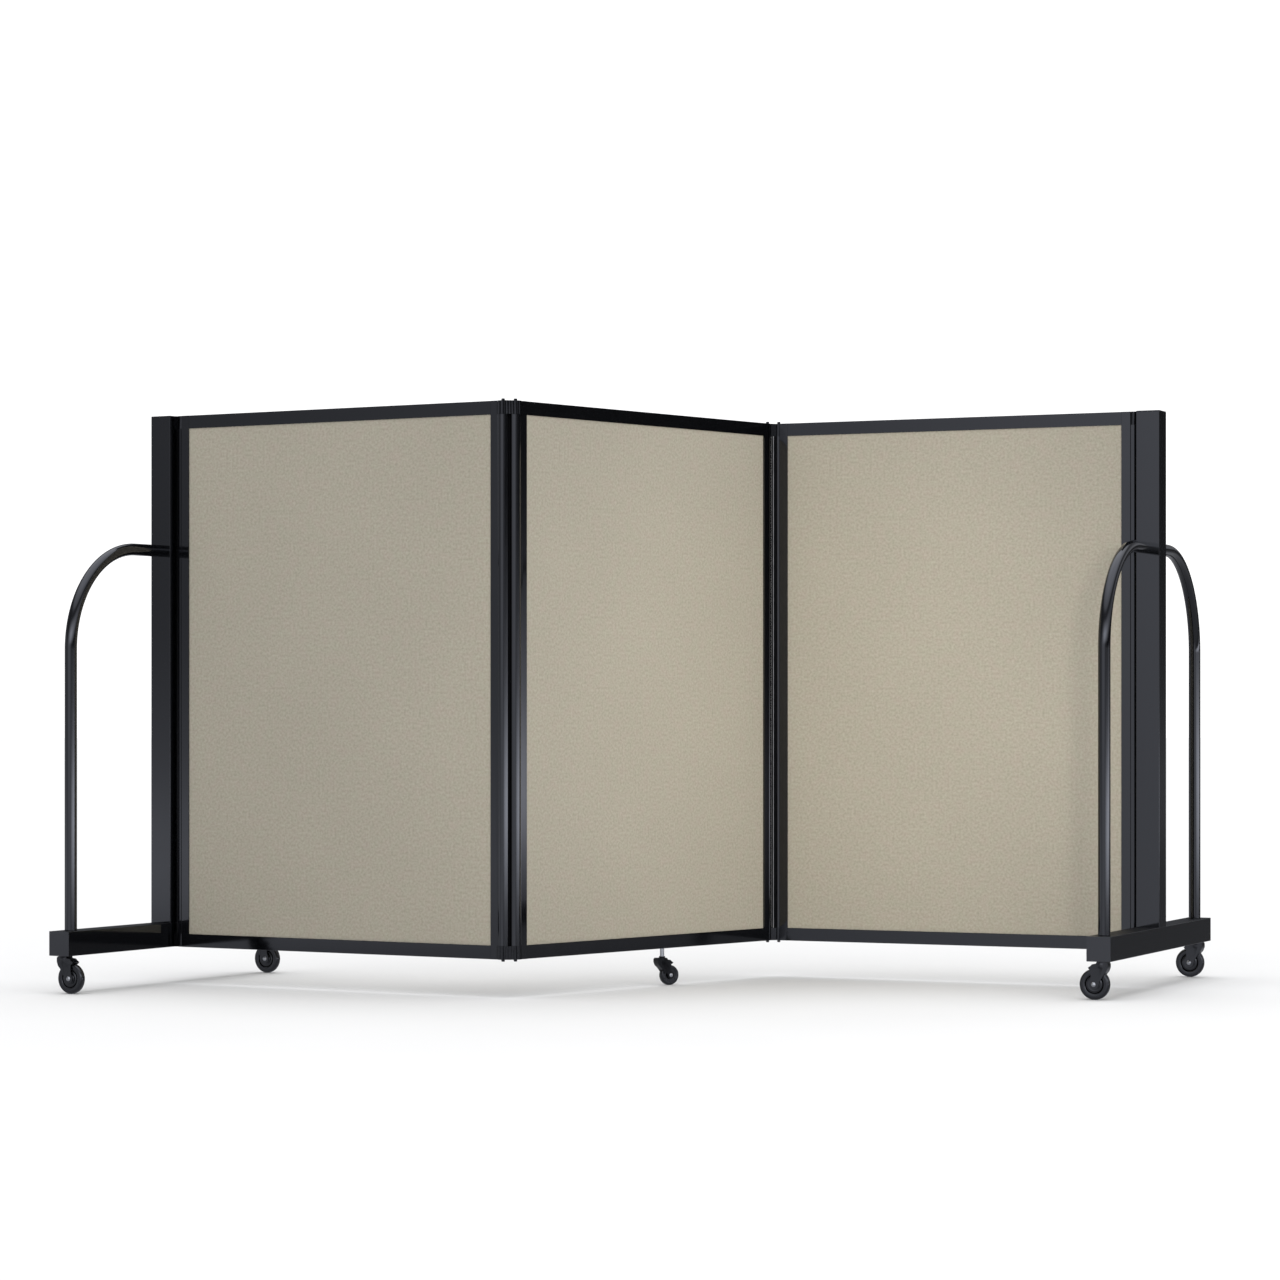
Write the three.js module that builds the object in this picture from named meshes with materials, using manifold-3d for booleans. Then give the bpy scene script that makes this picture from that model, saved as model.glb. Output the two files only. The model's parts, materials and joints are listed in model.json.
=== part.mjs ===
// Ward privacy screen on wheels: three fabric-faced panels in slim metal frames, joined by two
// full-height double-pin hinges and carried by a castered end frame at each outer edge.
// Lengths are in millimetres and +Z is up. X runs along the screen, and -Y is the front.
// The screen stands in its zigzag rest position, with the middle of its footprint at the origin.

import * as THREE from 'three';
import { mergeVertices } from 'three/addons/utils/BufferGeometryUtils.js';
import Module from 'manifold-3d';

const wasm = await Module();
wasm.setup();

// Overall heights, from the floor.
const overallHeight = 1219;
const underPanelGap = 79;

// Clearance between pieces that touch, and how far a cutter runs past what it cuts.
const seatGap = 0.3;
const cutOverrun = 5;
const weldTolerance = 0.0001;

// Panel frame, an extruded section all round, and the fabric-covered board held in its channel.
const fabricWidth = 763;
const frameThickness = 18;
const railFace = 28;
const stileFace = 20;
const frameEdgeBreak = 1;
const chamberWall = 1.9;
const boardThickness = 14;
const boardTuck = 8;
const chamberDepthInStile = 5.2;

// Double-pin hinge.
const hingeBarrelRadius = 8;
const rodBeyondStile = 4.5;
const rodRadius = 3.5;
const rodProud = 4.5;
const rodEdgeBreak = 0.8;
const rodPitch = 25.4;
const blockHeight = 27.5;
const blockWebHalfThickness = 4;
const endBlockFlange = 2.5;
const capRadius = 12.5;
const capStartAngle = THREE.MathUtils.degToRad(6);
const ribCount = 11;
const ribDepth = 1.1;
const crestShares = [0.22, 0.78];
const spineHalfThickness = 4;
const spineGap = 0.35;
const spineBeadWidth = 2.6;
const spineBeadHeight = 1.6;

// How far each hinge pin is turned from the straight line at rest, and the middle panel's heading.
const middlePanelHeading = THREE.MathUtils.degToRad(48.7);
const firstFoldPinTurn = THREE.MathUtils.degToRad(39.2);
const secondFoldPinTurn = THREE.MathUtils.degToRad(36.6);

// End frames: a square base tube and post, and a round hoop through the post.
const tubeSide = 50.8;
const tubeWall = 2;
const tubeCornerRadius = 3;
const baseLength = 736;
const postBeyondRod = 12.6;
const hoopTubeRadius = 12.7;
const hoopTubeWall = 2;
const hoopTopAboveFloor = 929;
const hoopBendRadius = 216;
const hoopLegInset = 36.5;
const hoopFootDepth = 10;
const capPlate = 2.5;
const capPlugDepth = 10.5;
const capEdgeRound = 1.2;

// Casters at the ends of the bases.
const casterInset = 20.7;
const casterSocketRadius = 9;
const casterSocketHeight = 26;
const endCaster = {
  wheelRadius: 31.75,
  wheelWidth: 15,
  trail: 14.5,
  shoulderHeight: 77.5,
  crownRadius: 12.5,
  neckRadius: 9,
  neckHeight: 1.2,
  legEndRadius: 10.5,
  axleRadius: 3,
  axleHeadRadius: 5,
  axleHeadHeight: 2.2,
  cheekThickness: 2.5,
  wheelSideGap: 1,
  wheelRimGap: 2,
};
const endCasterStemRadius = 5.5;

// Middle caster, on a plain steel stem under the middle panel.
const middleCasterFromFabricEdge = 432;
const middleCasterHeading = THREE.MathUtils.degToRad(28);
const middleCaster = {
  wheelRadius: 21.5,
  wheelWidth: 14,
  trail: 16.5,
  shoulderHeight: 58.4,
  crownRadius: 12.5,
  neckRadius: 6.6,
  neckHeight: 3.4,
  legEndRadius: 8,
  axleRadius: 2.5,
  axleHeadRadius: 4.2,
  axleHeadHeight: 2,
  cheekThickness: 2.5,
  wheelSideGap: 1,
  wheelRimGap: 2,
};
const middleStemRadius = 4.5;
const middleStemInCrown = 9;
const middleStemInRail = 14;
const stemEdgeBreak = 0.8;

// Caster outlines, as shares, each from the bottom up or from the middle outwards. The fork's front
// points and the crown's are shares of the crown radius and of the head's height above the axle. The
// fork's rear points are shares of the reach from the stem to the wheel's far edge, and of the height.
const forkFrontShares = [[0.12, 0.14], [-0.56, 0.44], [-1, 0.57], [-1.24, 0.75], [-1.24, 0.92], [-1.04, 1]];
const forkTopShares = [[0.17, 1], [0.19, 0.92], [0.39, 0.89], [0.44, 0.83]];
const forkHoodTipShares = [[0.57, 0.74], [0.52, 0.67], [0.44, 0.63], [0.44, 0.3]];
const forkRearShares = [...forkTopShares, ...forkHoodTipShares];
const crownShares = [[0, 0.5], [0.7, 0.5], [1, 0.75], [1, 0.92], [0.85, 1], [0, 1]];
const wheelSideShares = [[0.42, 0.85], [0.45, 0.3], [0.63, 0.3], [0.66, 0.92], [0.9, 1], [1, 0.4]];
const legEndStart = THREE.MathUtils.degToRad(160);
const legEndSweep = THREE.MathUtils.degToRad(235);
const headDomeShares = [[1, 0], [0.8, 0.7], [0, 1]];

// Faces per turn on round pieces.
const barrelSegments = 16;
const rodSegments = 12;
const wheelSegments = 20;
const hoopSegments = 14;
const hoopStepsPerBend = 8;
const cornerSegments = 2;
const legEndSegments = 6;

// Sizes that follow from the ones above.
const frameHeight = overallHeight - underPanelGap;
const openingHeight = frameHeight - 2 * railFace;
const halfThickness = frameThickness / 2;
const channelHalf = boardThickness / 2 + seatGap;
const channelDepth = boardTuck + seatGap;
const chamberHalf = halfThickness - chamberWall;
const rodFromFabric = stileFace + rodBeyondStile;
const rodBore = rodRadius + seatGap;
const panelPitch = fabricWidth + 2 * rodFromFabric;
const halfTube = tubeSide / 2;
const baseTop = underPanelGap + tubeSide;
const endFrameCentre = postBeyondRod + halfTube;
const casterReachAlongBase = baseLength / 2 - casterInset;
const legReachAlongBase = baseLength / 2 - hoopLegInset;
const hoopHole = hoopTubeRadius + seatGap;

// Materials.
function finish(color, roughness, metalness) {
  return new THREE.MeshStandardMaterial({ color, roughness, metalness });
}

const materials = {
  fabric: finish(0xa9a28e, 0.95, 0),
  frame: finish(0x26282b, 0.35, 0.2),
  hinge: finish(0x17181a, 0.45, 0.1),
  tube: finish(0x202225, 0.2, 0.2),
  plastic: finish(0x1c1d1f, 0.5, 0),
  zinc: finish(0xb9bbbd, 0.35, 0.9),
};

const screen = new THREE.Group();

// Adds one named piece to a group.
function addPiece(group, name, geometry, material) {
  const mesh = new THREE.Mesh(geometry, material);
  mesh.name = name;
  group.add(mesh);
  return mesh;
}

// Turns a closed geometry into a solid that can be joined and cut.
function solidOf(geometry) {
  const bare = geometry.clone();
  bare.deleteAttribute('normal');
  bare.deleteAttribute('uv');
  const merged = mergeVertices(bare, weldTolerance);
  return new wasm.Manifold(
    new wasm.Mesh({
      numProp: 3,
      vertProperties: new Float32Array(merged.attributes.position.array),
      triVerts: new Uint32Array(merged.index.array),
    }),
  );
}

// Turns a solid back into a geometry.
function geometryOf(solid) {
  const mesh = solid.getMesh();
  const geometry = new THREE.BufferGeometry();
  geometry.setAttribute('position', new THREE.BufferAttribute(mesh.vertProperties.slice(), 3));
  geometry.setIndex(new THREE.BufferAttribute(mesh.triVerts.slice(), 1));
  geometry.computeVertexNormals();
  return geometry;
}

// Cuts each of a list of geometries out of the first one.
function cutFrom(geometry, cutters) {
  const solid = cutters.reduce((left, cutter) => left.subtract(solidOf(cutter)), solidOf(geometry));
  return geometryOf(solid);
}

// Joins a list of overlapping geometries into one.
function joined(geometries) {
  const solid = geometries.slice(1).reduce((sum, next) => sum.add(solidOf(next)), solidOf(geometries[0]));
  return geometryOf(solid);
}

// Extrudes a flat shape upwards from one height to another.
function prism(shape, bottom, top, curveSegments = barrelSegments / 2) {
  const depth = top - bottom;
  const geometry = new THREE.ExtrudeGeometry(shape, { depth, bevelEnabled: false, curveSegments });
  return geometry.translate(0, 0, bottom);
}

// An upright cylinder between two heights.
function upright(radius, bottom, top, segments = barrelSegments) {
  const geometry = new THREE.CylinderGeometry(radius, radius, top - bottom, segments);
  return geometry.rotateX(Math.PI / 2).translate(0, 0, (bottom + top) / 2);
}

// A cylinder along Y, centred on the origin.
function crosswise(radius, length, segments = barrelSegments) {
  return new THREE.CylinderGeometry(radius, radius, length, segments);
}

// A box between two corners.
function boxBetween(low, high) {
  const geometry = new THREE.BoxGeometry(high[0] - low[0], high[1] - low[1], high[2] - low[2]);
  return geometry.translate((low[0] + high[0]) / 2, (low[1] + high[1]) / 2, (low[2] + high[2]) / 2);
}

// Traces a rectangle with rounded corners, centred on the origin.
function traceRoundedRectangle(path, width, depth, radius) {
  const x = width / 2 - radius;
  const y = depth / 2 - radius;
  path.absarc(x, -y, radius, -Math.PI / 2, 0);
  path.absarc(x, y, radius, 0, Math.PI / 2);
  path.absarc(-x, y, radius, Math.PI / 2, Math.PI);
  path.absarc(-x, -y, radius, Math.PI, 1.5 * Math.PI);
  path.closePath();
  return path;
}

// A turned piece: a profile of [radius, height] points, from the axis to the axis or closed on itself.
function turned(profile, segments) {
  const points = profile.map(([radius, height]) => new THREE.Vector2(radius, height));
  return new THREE.LatheGeometry(points, segments);
}

// A round bar with broken edges between two heights.
function roundBar(radius, bottom, top, edgeBreak, segments = rodSegments) {
  const profile = [
    [0, bottom],
    [radius - edgeBreak, bottom],
    [radius, bottom + edgeBreak],
    [radius, top - edgeBreak],
    [radius - edgeBreak, top],
    [0, top],
  ];
  return turned(profile, segments).rotateX(Math.PI / 2);
}

// The stile's section: a channel for the board, a hollow chamber and a hinge barrel.
// X is measured from the fabric edge towards the rod.
function stileSection() {
  const r = frameEdgeBreak;
  const shoulder = Math.acos(rodBeyondStile / hingeBarrelRadius);
  const shape = new THREE.Shape();
  shape.moveTo(0, -halfThickness);
  shape.lineTo(stileFace - r, -halfThickness);
  shape.lineTo(stileFace, -halfThickness + r);
  shape.absarc(rodFromFabric, 0, hingeBarrelRadius, shoulder - Math.PI, Math.PI - shoulder);
  shape.lineTo(stileFace, halfThickness - r);
  shape.lineTo(stileFace - r, halfThickness);
  shape.lineTo(0, halfThickness);
  shape.lineTo(0, channelHalf);
  shape.lineTo(channelDepth, channelHalf);
  shape.lineTo(channelDepth, -channelHalf);
  shape.lineTo(0, -channelHalf);
  shape.closePath();
  const chamberStart = channelDepth + chamberWall;
  const chamberEnd = chamberStart + chamberDepthInStile;
  const chamber = new THREE.Path();
  chamber.moveTo(chamberStart, -chamberHalf);
  chamber.lineTo(chamberStart, chamberHalf);
  chamber.lineTo(chamberEnd, chamberHalf);
  chamber.lineTo(chamberEnd, -chamberHalf);
  chamber.closePath();
  const bore = new THREE.Path();
  bore.absarc(rodFromFabric, 0, rodBore, 0, 2 * Math.PI, true);
  shape.holes.push(chamber, bore);
  return shape;
}

// Scoops that clear the hinge block at one end of a stile. capSide is -1 or 1 where the block has
// its ribbed cap towards -Y or +Y, and 0 where it has none.
function blockScoops(bottom, top, capSide) {
  const scoops = [upright(hingeBarrelRadius + seatGap, bottom, top).translate(rodFromFabric, 0, 0)];
  if (capSide !== 0) {
    const quarter = new THREE.Shape();
    const edge = seatGap * capSide;
    const radius = capRadius + seatGap;
    quarter.moveTo(seatGap, -edge);
    quarter.lineTo(-radius, -edge);
    quarter.absarc(0, 0, radius, Math.PI, Math.PI + (capSide * -Math.PI) / 2, capSide > 0);
    quarter.lineTo(seatGap, capSide * radius);
    quarter.closePath();
    scoops.push(prism(quarter, bottom, top).translate(rodFromFabric, 0, 0));
  }
  return scoops;
}

// A full-height stile with its barrel cut back at both ends for the hinge blocks.
function stile(capSide) {
  const bottom = underPanelGap;
  const top = overallHeight;
  const reach = blockHeight + seatGap;
  return cutFrom(prism(stileSection(), bottom, top), [
    ...blockScoops(bottom - cutOverrun, bottom + reach, capSide),
    ...blockScoops(top - reach, top + cutOverrun, capSide),
  ]);
}

// A rail between the stiles: the board's channel on its inner side and a hollow chamber behind it.
// The section is drawn with X across the frame and Y from the rail's outer face to its inner one.
function rail() {
  const r = frameEdgeBreak;
  const shape = new THREE.Shape();
  shape.absarc(-halfThickness + r, r, r, Math.PI, 1.5 * Math.PI);
  shape.absarc(halfThickness - r, r, r, 1.5 * Math.PI, 2 * Math.PI);
  shape.lineTo(halfThickness, railFace);
  shape.lineTo(channelHalf, railFace);
  shape.lineTo(channelHalf, railFace - channelDepth);
  shape.lineTo(-channelHalf, railFace - channelDepth);
  shape.lineTo(-channelHalf, railFace);
  shape.lineTo(-halfThickness, railFace);
  shape.closePath();
  const chamberTop = railFace - channelDepth - chamberWall;
  const chamber = new THREE.Path();
  chamber.moveTo(-chamberHalf, chamberWall);
  chamber.lineTo(-chamberHalf, chamberTop);
  chamber.lineTo(chamberHalf, chamberTop);
  chamber.lineTo(chamberHalf, chamberWall);
  chamber.closePath();
  shape.holes.push(chamber);
  const geometry = prism(shape, seatGap, fabricWidth - seatGap, cornerSegments);
  return geometry.rotateX(Math.PI / 2).rotateZ(Math.PI / 2);
}

// The fabric-covered board, tucked into the channels on all four sides.
function board() {
  const low = [-boardTuck, -boardThickness / 2, underPanelGap + railFace - boardTuck];
  const high = [fabricWidth + boardTuck, boardThickness / 2, overallHeight - railFace + boardTuck];
  return boxBetween(low, high);
}

// One panel. Its group's origin is its left rod, with X along the panel. capSides gives the side of
// the hinge caps at its left and right edge. holeAt is where a stem enters the bottom rail, if any.
function addPanel(group, name, capSides, holeAt) {
  const fabricLeft = rodFromFabric;
  const fabricRight = rodFromFabric + fabricWidth;
  addPiece(group, `${name}_board`, board().translate(fabricLeft, 0, 0), materials.fabric);
  const top = rail().rotateX(Math.PI).translate(fabricLeft, 0, overallHeight);
  addPiece(group, `${name}_top_rail`, top, materials.frame);
  let bottom = rail().translate(fabricLeft, 0, underPanelGap);
  if (holeAt !== undefined) {
    const wallTop = underPanelGap + chamberWall + cutOverrun;
    const hole = upright(middleStemRadius + seatGap, underPanelGap - cutOverrun, wallTop);
    bottom = cutFrom(bottom, [hole.translate(holeAt, 0, 0)]);
  }
  addPiece(group, `${name}_bottom_rail`, bottom, materials.frame);
  const left = stile(-capSides[0]).rotateZ(Math.PI).translate(fabricLeft, 0, 0);
  addPiece(group, `${name}_left_stile`, left, materials.frame);
  const right = stile(capSides[1]).translate(fabricRight, 0, 0);
  addPiece(group, `${name}_right_stile`, right, materials.frame);
}

// A point on the ribbed cap's outline, at a distance along it and a depth below its surface. The
// outline runs round the left pin, straight along the front and round the right pin.
function capPoint(distance, depth) {
  const halfPitch = rodPitch / 2;
  const arcLength = (Math.PI / 2 - capStartAngle) * capRadius;
  const radius = capRadius - depth;
  if (distance < arcLength) {
    const angle = Math.PI + capStartAngle + distance / capRadius;
    return [-halfPitch + radius * Math.cos(angle), radius * Math.sin(angle)];
  }
  if (distance < arcLength + rodPitch) {
    return [-halfPitch + distance - arcLength, -radius];
  }
  const angle = 1.5 * Math.PI + (distance - arcLength - rodPitch) / capRadius;
  return [halfPitch + radius * Math.cos(angle), radius * Math.sin(angle)];
}

// The ribbed cap on the outer side of a hinge block, as vertical ribs with flat crests.
function ribbedCap(bottom, top) {
  const length = 2 * (Math.PI / 2 - capStartAngle) * capRadius + rodPitch;
  const pitch = length / ribCount;
  const shape = new THREE.Shape();
  shape.moveTo(-rodPitch / 2, 0);
  for (let rib = 0; rib < ribCount; rib += 1) {
    shape.lineTo(...capPoint(rib * pitch, ribDepth));
    shape.lineTo(...capPoint((rib + crestShares[0]) * pitch, 0));
    shape.lineTo(...capPoint((rib + crestShares[1]) * pitch, 0));
  }
  shape.lineTo(...capPoint(length, ribDepth));
  shape.lineTo(rodPitch / 2, 0);
  shape.closePath();
  return prism(shape, bottom, top);
}

// A hinge block: a lobe round each pin, a web between them and the ribbed cap towards -Y.
function foldBlock(bottom, top) {
  const halfPitch = rodPitch / 2;
  const webHalf = blockWebHalfThickness;
  const web = boxBetween([-halfPitch, -webHalf, bottom], [halfPitch, webHalf, top]);
  const body = joined([
    web,
    upright(hingeBarrelRadius, bottom, top).translate(-halfPitch, 0, 0),
    upright(hingeBarrelRadius, bottom, top).translate(halfPitch, 0, 0),
    ribbedCap(bottom, top),
  ]);
  const bore = () => upright(rodBore, bottom - cutOverrun, top + cutOverrun, rodSegments);
  return cutFrom(body, [bore().translate(-halfPitch, 0, 0), bore().translate(halfPitch, 0, 0)]);
}

// The spine that closes the gap between the two barrels, hollowed round each of them, with a bead
// down its +Y side.
function foldSpine() {
  const halfPitch = rodPitch / 2;
  const hollow = hingeBarrelRadius + spineGap;
  const spread = Math.asin(spineHalfThickness / hollow);
  const beadTop = spineHalfThickness + spineBeadHeight;
  const shape = new THREE.Shape();
  shape.absarc(halfPitch, 0, hollow, Math.PI + spread, Math.PI - spread, true);
  shape.lineTo(spineBeadWidth / 2, spineHalfThickness);
  shape.lineTo(spineBeadWidth / 2, beadTop);
  shape.lineTo(-spineBeadWidth / 2, beadTop);
  shape.lineTo(-spineBeadWidth / 2, spineHalfThickness);
  shape.absarc(-halfPitch, 0, hollow, spread, -spread, true);
  shape.closePath();
  const reach = blockHeight + seatGap;
  return prism(shape, underPanelGap + reach, overallHeight - reach, cornerSegments);
}

// One fold: its group's origin is midway between the pins. turn is 0 where the cap faces -Y, and
// half a turn where it faces +Y.
function addFold(group, name, turn) {
  const bottomBlock = foldBlock(underPanelGap, underPanelGap + blockHeight).rotateZ(turn);
  const topBlock = foldBlock(overallHeight - blockHeight, overallHeight).rotateZ(turn);
  addPiece(group, `${name}_spine`, foldSpine().rotateZ(turn), materials.hinge);
  addPiece(group, `${name}_top_block`, topBlock, materials.hinge);
  addPiece(group, `${name}_bottom_block`, bottomBlock, materials.hinge);
  for (const [side, x] of [['left', -rodPitch / 2], ['right', rodPitch / 2]]) {
    const rod = roundBar(rodRadius, underPanelGap - rodProud, overallHeight + rodProud, rodEdgeBreak);
    addPiece(group, `${name}_${side}_rod`, rod.translate(x, 0, 0), materials.hinge);
  }
}

// An end hinge block: a lobe round the pin, a web and a flange against the post.
function endBlock(bottom, top) {
  const flangeEnd = postBeyondRod - seatGap;
  const flangeStart = flangeEnd - endBlockFlange;
  const web = boxBetween([0, -blockWebHalfThickness, bottom], [flangeEnd, blockWebHalfThickness, top]);
  const flange = boxBetween([flangeStart, -hingeBarrelRadius, bottom], [flangeEnd, hingeBarrelRadius, top]);
  const body = joined([web, flange, upright(hingeBarrelRadius, bottom, top)]);
  return cutFrom(body, [upright(rodBore, bottom - cutOverrun, top + cutOverrun, rodSegments)]);
}

// A square tube's section.
function squareTubeSection() {
  const shape = traceRoundedRectangle(new THREE.Shape(), tubeSide, tubeSide, tubeCornerRadius);
  const inner = tubeSide - 2 * tubeWall;
  const innerRadius = tubeCornerRadius - tubeWall;
  shape.holes.push(traceRoundedRectangle(new THREE.Path(), inner, inner, innerRadius));
  return shape;
}

// The base tube, with a welded socket over each caster and a hole for each foot of the hoop.
function baseTube() {
  const middle = underPanelGap + halfTube;
  const tube = prism(squareTubeSection(), -baseLength / 2, baseLength / 2, cornerSegments);
  const pieces = [tube.rotateX(Math.PI / 2).translate(0, 0, middle)];
  const cutters = [];
  for (const end of [-1, 1]) {
    const socketTop = underPanelGap + tubeWall + casterSocketHeight;
    const y = end * casterReachAlongBase;
    const legY = end * legReachAlongBase;
    const socketBottom = underPanelGap + tubeWall / 2;
    const socket = upright(casterSocketRadius, socketBottom, socketTop, rodSegments);
    pieces.push(socket.translate(0, y, 0));
    const boreRadius = endCasterStemRadius + seatGap;
    const bore = upright(boreRadius, underPanelGap - cutOverrun, socketTop + cutOverrun, rodSegments);
    cutters.push(bore.translate(0, y, 0));
    const footHole = upright(hoopHole, baseTop - tubeWall - cutOverrun, baseTop + cutOverrun);
    cutters.push(footHole.translate(0, legY, 0));
  }
  return cutFrom(joined(pieces), cutters).translate(endFrameCentre, 0, 0);
}

// The post, standing on the base, with a hole through its front and rear walls for the hoop.
function postTube() {
  const top = overallHeight - capPlate - seatGap;
  const tube = prism(squareTubeSection(), baseTop + seatGap, top, cornerSegments);
  const hole = crosswise(hoopHole, tubeSide + 2 * cutOverrun).translate(0, 0, hoopTopAboveFloor);
  return cutFrom(tube, [hole]).translate(endFrameCentre, 0, 0);
}

// A plug cap for an open tube end, with its plate on top and its plug pointing down from z = 0.
function tubeCap() {
  const bevel = capEdgeRound;
  const flat = tubeSide - 2 * bevel;
  const plate = traceRoundedRectangle(new THREE.Shape(), flat, flat, tubeCornerRadius);
  const plateGeometry = new THREE.ExtrudeGeometry(plate, {
    depth: capPlate - bevel,
    bevelThickness: bevel,
    bevelSize: bevel,
    bevelSegments: 1,
    curveSegments: cornerSegments,
  });
  const base = boxBetween([-tubeSide, -tubeSide, -cutOverrun], [tubeSide, tubeSide, 0]);
  const inner = tubeSide - 2 * (tubeWall + seatGap);
  const plug = traceRoundedRectangle(new THREE.Shape(), inner, inner, frameEdgeBreak);
  const flatPlate = cutFrom(plateGeometry, [base]);
  return joined([flatPlate, prism(plug, -capPlugDepth, capPlate / 2, cornerSegments)]);
}

// The hoop's centre line, with stations only at the feet and round the bends, so straight runs
// take no steps of their own. It runs up one leg, over the top and down the other.
class HoopLine extends THREE.Curve {
  constructor(bottom, top, halfSpan, bend, stepsPerBend) {
    super();
    this.stations = [[new THREE.Vector3(0, -halfSpan, bottom), new THREE.Vector3(0, 0, 1)]];
    for (const side of [-1, 1]) {
      for (let step = 0; step <= stepsPerBend; step += 1) {
        const share = side < 0 ? step / stepsPerBend : 1 - step / stepsPerBend;
        const angle = (share * Math.PI) / 2;
        const y = side * (halfSpan - bend + bend * Math.cos(angle));
        const point = new THREE.Vector3(0, y, top - bend + bend * Math.sin(angle));
        const heading = new THREE.Vector3(0, Math.sin(angle), -side * Math.cos(angle));
        this.stations.push([point, heading]);
      }
    }
    this.stations.push([new THREE.Vector3(0, halfSpan, bottom), new THREE.Vector3(0, 0, -1)]);
  }

  stationAt(share) {
    return this.stations[Math.round(share * (this.stations.length - 1))];
  }

  getPoint(share) {
    return this.stationAt(share)[0].clone();
  }

  getPointAt(share) {
    return this.getPoint(share);
  }

  getTangentAt(share) {
    return this.stationAt(share)[1].clone();
  }
}

// The hoop, one bent round tube standing in the base and passing through the post.
function hoop() {
  const foot = baseTop - hoopFootDepth;
  const line = new HoopLine(foot, hoopTopAboveFloor, legReachAlongBase, hoopBendRadius, hoopStepsPerBend);
  const section = new THREE.Shape();
  section.absarc(0, 0, hoopTubeRadius, 0, 2 * Math.PI);
  const bore = new THREE.Path();
  bore.absarc(0, 0, hoopTubeRadius - hoopTubeWall, 0, 2 * Math.PI, true);
  section.holes.push(bore);
  const geometry = new THREE.ExtrudeGeometry(section, {
    steps: line.stations.length - 1,
    extrudePath: line,
    curveSegments: hoopSegments / 2,
  });
  return geometry.translate(endFrameCentre, 0, 0);
}

// The fork's side outline, with X towards the trailing side and Y up from the axle.
function forkOutline(spec) {
  const head = spec.shoulderHeight - spec.wheelRadius;
  const reach = spec.trail + spec.wheelRadius;
  const shape = new THREE.Shape();
  shape.absarc(spec.trail, 0, spec.legEndRadius, legEndStart, legEndStart + legEndSweep);
  for (const [x, y] of [...forkRearShares].reverse()) {
    shape.lineTo(x * reach, y * head);
  }
  for (const [x, y] of [...forkFrontShares].reverse()) {
    shape.lineTo(x * spec.crownRadius, y * head);
  }
  shape.closePath();
  return shape;
}

// A caster's fork: two cheeks and a hood cut from one outline, under a round crown.
function fork(spec) {
  const halfWidth = spec.wheelWidth / 2 + spec.wheelSideGap + spec.cheekThickness;
  const pocketWidth = spec.wheelWidth + 2 * spec.wheelSideGap;
  const head = spec.shoulderHeight - spec.wheelRadius;
  const side = prism(forkOutline(spec), -halfWidth, halfWidth, legEndSegments).rotateX(Math.PI / 2);
  const profile = crownShares.map(([r, y]) => [r * spec.crownRadius, y * head]);
  const crown = turned(profile, barrelSegments).rotateX(Math.PI / 2);
  const neck = upright(spec.neckRadius, head - spec.neckHeight, head + spec.neckHeight, rodSegments);
  const pocket = crosswise(spec.wheelRadius + spec.wheelRimGap, pocketWidth, wheelSegments);
  const axleHole = crosswise(spec.axleRadius + seatGap, 2 * halfWidth + cutOverrun, rodSegments);
  const cutters = [pocket, axleHole].map((cutter) => cutter.translate(spec.trail, 0, 0));
  return cutFrom(joined([side, crown, neck]), cutters).translate(0, 0, spec.wheelRadius);
}

// A caster's wheel, turned about its axle. Its flats, not its corners, lie on the wheel radius.
function wheel(spec) {
  const radius = spec.wheelRadius / Math.cos(Math.PI / wheelSegments);
  const bore = spec.axleRadius + seatGap;
  const half = spec.wheelWidth / 2;
  const upper = wheelSideShares.map(([r, y]) => [r * radius, y * half]);
  const lower = upper.map(([r, y]) => [r, -y]);
  const profile = [[bore, -half], ...lower, ...upper.reverse(), [bore, half], [bore, -half]];
  const halfStep = Math.PI / wheelSegments;
  return turned(profile, wheelSegments).rotateY(halfStep).translate(spec.trail, 0, spec.wheelRadius);
}

// A caster's axle, a rivet with a domed head at each end.
function axle(spec) {
  const seat = spec.wheelWidth / 2 + spec.wheelSideGap + spec.cheekThickness + seatGap;
  const dome = headDomeShares.map(([r, y]) => [r * spec.axleHeadRadius, seat + y * spec.axleHeadHeight]);
  const lower = dome.map(([r, y]) => [r, -y]).reverse();
  const profile = [...lower, [spec.axleRadius, -seat], [spec.axleRadius, seat], ...dome];
  return turned(profile, rodSegments).translate(spec.trail, 0, spec.wheelRadius);
}

// One caster. Its group's origin is under its stem, with X towards its trailing side.
function addCaster(group, name, spec, forkGeometry) {
  addPiece(group, `${name}_fork`, forkGeometry, materials.plastic);
  addPiece(group, `${name}_wheel`, wheel(spec), materials.plastic);
  addPiece(group, `${name}_axle`, axle(spec), materials.zinc);
}

// An end caster's fork, with the stem that turns in the base's socket.
function endCasterFork() {
  const neckMiddle = endCaster.shoulderHeight;
  const stemTop = underPanelGap + tubeWall + casterSocketHeight;
  const stem = roundBar(endCasterStemRadius, neckMiddle, stemTop, stemEdgeBreak);
  return joined([fork(endCaster), stem]);
}

// The middle caster's fork, with a bore in its crown for the fixed stem.
function middleCasterFork() {
  const crownTop = middleCaster.shoulderHeight + middleCaster.neckHeight;
  const boreBottom = crownTop - middleStemInCrown - seatGap;
  const bore = upright(middleStemRadius + seatGap, boreBottom, crownTop + cutOverrun, rodSegments);
  return cutFrom(fork(middleCaster), [bore]);
}

// The middle caster's steel stem, from inside its crown up into the bottom rail.
function middleStem() {
  const bottom = middleCaster.shoulderHeight + middleCaster.neckHeight - middleStemInCrown;
  return roundBar(middleStemRadius, bottom, underPanelGap + middleStemInRail, stemEdgeBreak);
}

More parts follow.
